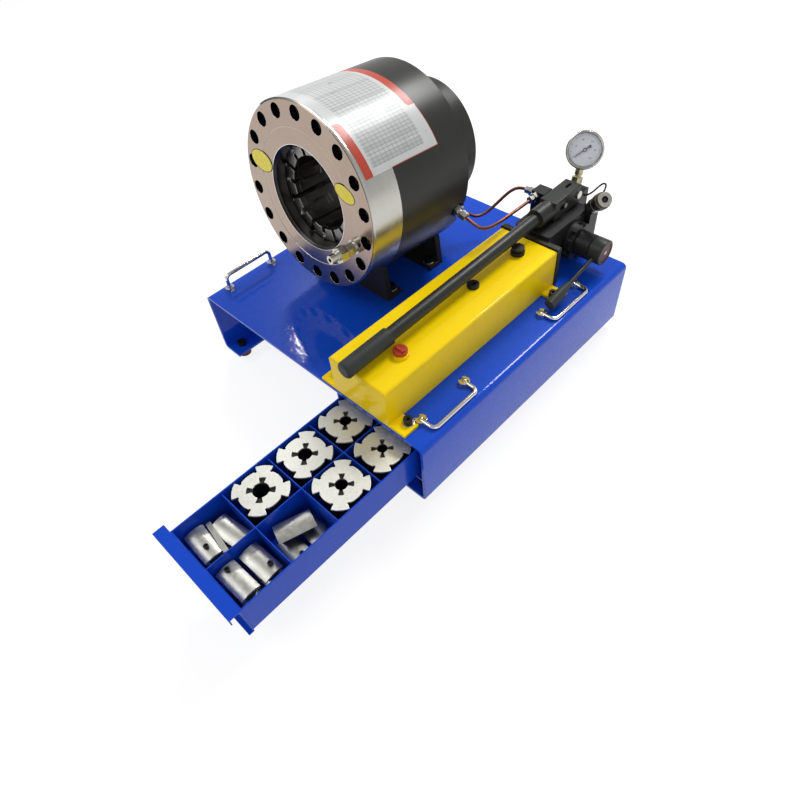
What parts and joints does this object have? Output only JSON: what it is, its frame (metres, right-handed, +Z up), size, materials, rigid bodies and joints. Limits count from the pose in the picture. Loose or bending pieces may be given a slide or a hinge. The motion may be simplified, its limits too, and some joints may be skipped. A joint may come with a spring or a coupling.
{
  "type": "hose crimping machine",
  "caption": "Bench hose crimping machine: cone-ring press head on a table with hand pump, oil tank, pressure gauge and sliding die drawer.",
  "frame": {"origin": "on the floor, under the middle of the whole machine's plan box with the drawer as pictured", "axes": "+Z up; -Y is the front, where the drawer opens and the hose goes in; +X to the right of someone facing the press head"},
  "size_m": [0.55, 0.9626, 0.4969],
  "materials": {
    "blue_paint": "glossy powder coat",
    "drawer_blue": "glossy powder coat",
    "yellow_paint": "glossy powder coat",
    "black_paint": "satin paint",
    "ground_steel": "turned and ground",
    "black_oxide": "black oxide, lightly oiled",
    "bright_steel": "bright zinc",
    "chrome": "polished",
    "zinc_cage": "satin zinc",
    "cast_black": "painted casting",
    "copper_pipe": "drawn tube, dulled",
    "brass_fitting": "turned",
    "stainless": "drawn stainless",
    "grey_steel": "drawn tube, dull grey",
    "rubber_black": "moulded",
    "rubber_red": "moulded",
    "seal_rubber": "moulded",
    "red_plastic": "moulded",
    "dial_white": "printed scale",
    "needle_black": "matt"
  },
  "bodies": {
    "base": {"table": "blue_paint", "rubber_feet": "rubber_red", "foot_bolts": "black_oxide", "drawer_runners": "drawer_blue", "saddle_legs": "black_paint", "leg_bolts": "black_oxide", "front_ring": "ground_steel", "ring_screws": "black_oxide", "cylinder_body": "black_paint", "rear_cover": "black_paint", "cover_screws": "black_oxide", "face_fitting": "brass_fitting", "port_fittings": "bright_steel", "feed_pipe": "copper_pipe", "return_pipe": "copper_pipe", "oil_tank": "yellow_paint", "tank_bolts": "black_oxide", "tank_plug": "cast_black", "tank_end_plate": "black_paint", "pump_body": "cast_black", "pivot_pin": "chrome", "valve_collar": "cast_black", "valve_body": "cast_black", "gauge_adapter": "brass_fitting", "gauge_case": "stainless", "gauge_dial": "dial_white", "coupler_body": "bright_steel", "bypass_pipe": "copper_pipe", "handle_collars": "chrome"},
    "press_piston": {"piston": "grey_steel", "piston_seals": "seal_rubber"},
    "pump_lever": {"lever_head": "grey_steel", "lever_tube": "grey_steel", "lever_grip": "rubber_black"},
    "plunger": {"pump_plunger": "chrome"},
    "release_lever": {"valve_cap": "grey_steel", "release_rod": "grey_steel", "release_grip": "rubber_black"},
    "drawer": {"drawer_tray": "drawer_blue", "drawer_front": "drawer_blue", "drawer_dividers": "drawer_blue", "die_cages": "zinc_cage", "die_rings": "black_oxide", "loose_dies": "zinc_cage"},
    "needle": {"gauge_needle": "needle_black"},
    "coupler_ring": {"coupler_sleeve": "cast_black"},
    "tank_cap": {"filler_cap": "red_plastic"},
    "breather": {"breather_knob": "cast_black"},
    "shoe_1": {"die_shoe_1": "black_oxide"},
    "shoe_2": {"die_shoe_2": "black_oxide"},
    "shoe_3": {"die_shoe_3": "black_oxide"},
    "shoe_4": {"die_shoe_4": "black_oxide"},
    "shoe_5": {"die_shoe_5": "black_oxide"},
    "shoe_6": {"die_shoe_6": "black_oxide"},
    "shoe_7": {"die_shoe_7": "black_oxide"},
    "shoe_8": {"die_shoe_8": "black_oxide"},
    "carry_front_left": {"handle_front_left": "chrome"},
    "carry_rear_left": {"handle_rear_left": "chrome"},
    "carry_front_right": {"handle_front_right": "chrome"},
    "carry_rear_right": {"handle_rear_right": "chrome"}
  },
  "joints": [
    {"name": "press_stroke", "type": "slide", "parent": "base", "child": "press_piston", "axis": [0, -0.9976, 0.0698], "range_m": [0, 0.03]},
    {"name": "shoe_1_slide", "type": "slide", "parent": "base", "child": "shoe_1", "axis": [-0.5, -0.8639, 0.0604], "range_m": [0, 0.01733]},
    {"name": "shoe_2_slide", "type": "slide", "parent": "base", "child": "shoe_2", "axis": [-0.3536, -0.8886, -0.2923], "range_m": [0, 0.01733]},
    {"name": "shoe_3_slide", "type": "slide", "parent": "base", "child": "shoe_3", "axis": [0, -0.8988, -0.4384], "range_m": [0, 0.01733]},
    {"name": "shoe_4_slide", "type": "slide", "parent": "base", "child": "shoe_4", "axis": [0.3536, -0.8886, -0.2923], "range_m": [0, 0.01733]},
    {"name": "shoe_5_slide", "type": "slide", "parent": "base", "child": "shoe_5", "axis": [0.5, -0.8639, 0.0604], "range_m": [0, 0.01733]},
    {"name": "shoe_6_slide", "type": "slide", "parent": "base", "child": "shoe_6", "axis": [0.3536, -0.8393, 0.4131], "range_m": [0, 0.01733]},
    {"name": "shoe_7_slide", "type": "slide", "parent": "base", "child": "shoe_7", "axis": [0, -0.829, 0.5592], "range_m": [0, 0.01733]},
    {"name": "shoe_8_slide", "type": "slide", "parent": "base", "child": "shoe_8", "axis": [-0.3536, -0.8393, 0.4131], "range_m": [0, 0.01733]},
    {"name": "lever_hinge", "type": "hinge", "parent": "base", "child": "pump_lever", "pos_m": [0.144, 0.40072, 0.257], "axis": [-1, 0, 0], "range_deg": [0, 30]},
    {"name": "plunger_slide", "type": "slide", "parent": "base", "child": "plunger", "axis": [0, 0, 1], "range_m": [0, 0.024]},
    {"name": "release_hinge", "type": "hinge", "parent": "base", "child": "release_lever", "pos_m": [0.229, 0.36272, 0.194], "axis": [-1, 0, 0], "range_deg": [0, 60]},
    {"name": "drawer_slide", "type": "slide", "parent": "base", "child": "drawer", "axis": [0, -1, 0], "range_m": [-0.316, 0.04]},
    {"name": "handle_front_left_hinge", "type": "hinge", "parent": "base", "child": "carry_front_left", "pos_m": [-0.253, -0.10328, 0.1562], "axis": [0, 1, 0], "range_deg": [-90, 90]},
    {"name": "handle_rear_left_hinge", "type": "hinge", "parent": "base", "child": "carry_rear_left", "pos_m": [-0.253, 0.20172, 0.1562], "axis": [0, 1, 0], "range_deg": [-180, 0]},
    {"name": "handle_front_right_hinge", "type": "hinge", "parent": "base", "child": "carry_front_right", "pos_m": [0.235, -0.10328, 0.1562], "axis": [0, 1, 0], "range_deg": [-150, 0]},
    {"name": "handle_rear_right_hinge", "type": "hinge", "parent": "base", "child": "carry_rear_right", "pos_m": [0.235, 0.20172, 0.1562], "axis": [0, 1, 0], "range_deg": [-45, 0]},
    {"name": "needle_turn", "type": "hinge", "parent": "base", "child": "needle", "pos_m": [0.13232, 0.45049, 0.31042], "axis": [-0.4186, 0.8497, -0.3206], "range_deg": [0, 265]},
    {"name": "coupler_ring_slide", "type": "slide", "parent": "base", "child": "coupler_ring", "axis": [-0.6012, 0.4008, -0.6913], "range_m": [0, 0.006], "stiffness_N_per_m": 400, "springref_m": -0.004},
    {"name": "tank_cap_turn", "type": "hinge", "parent": "base", "child": "tank_cap", "pos_m": [0.168, -0.07028, 0.226], "axis": [0, 0, 1], "range_deg": [0, 360]},
    {"name": "breather_turn", "type": "hinge", "parent": "base", "child": "breather", "pos_m": [0.156, 0.23172, 0.226], "axis": [0, 0, 1], "range_deg": [0, 180]}
  ],
  "couplings": [
    {"joint": "shoe_1_slide", "follows": "press_stroke", "ratio": 0.57735},
    {"joint": "shoe_2_slide", "follows": "press_stroke", "ratio": 0.57735},
    {"joint": "shoe_3_slide", "follows": "press_stroke", "ratio": 0.57735},
    {"joint": "shoe_4_slide", "follows": "press_stroke", "ratio": 0.57735},
    {"joint": "shoe_5_slide", "follows": "press_stroke", "ratio": 0.57735},
    {"joint": "shoe_6_slide", "follows": "press_stroke", "ratio": 0.57735},
    {"joint": "shoe_7_slide", "follows": "press_stroke", "ratio": 0.57735},
    {"joint": "shoe_8_slide", "follows": "press_stroke", "ratio": 0.57735},
    {"joint": "plunger_slide", "follows": "lever_hinge", "m_per_rad": 0.045821}
  ]
}
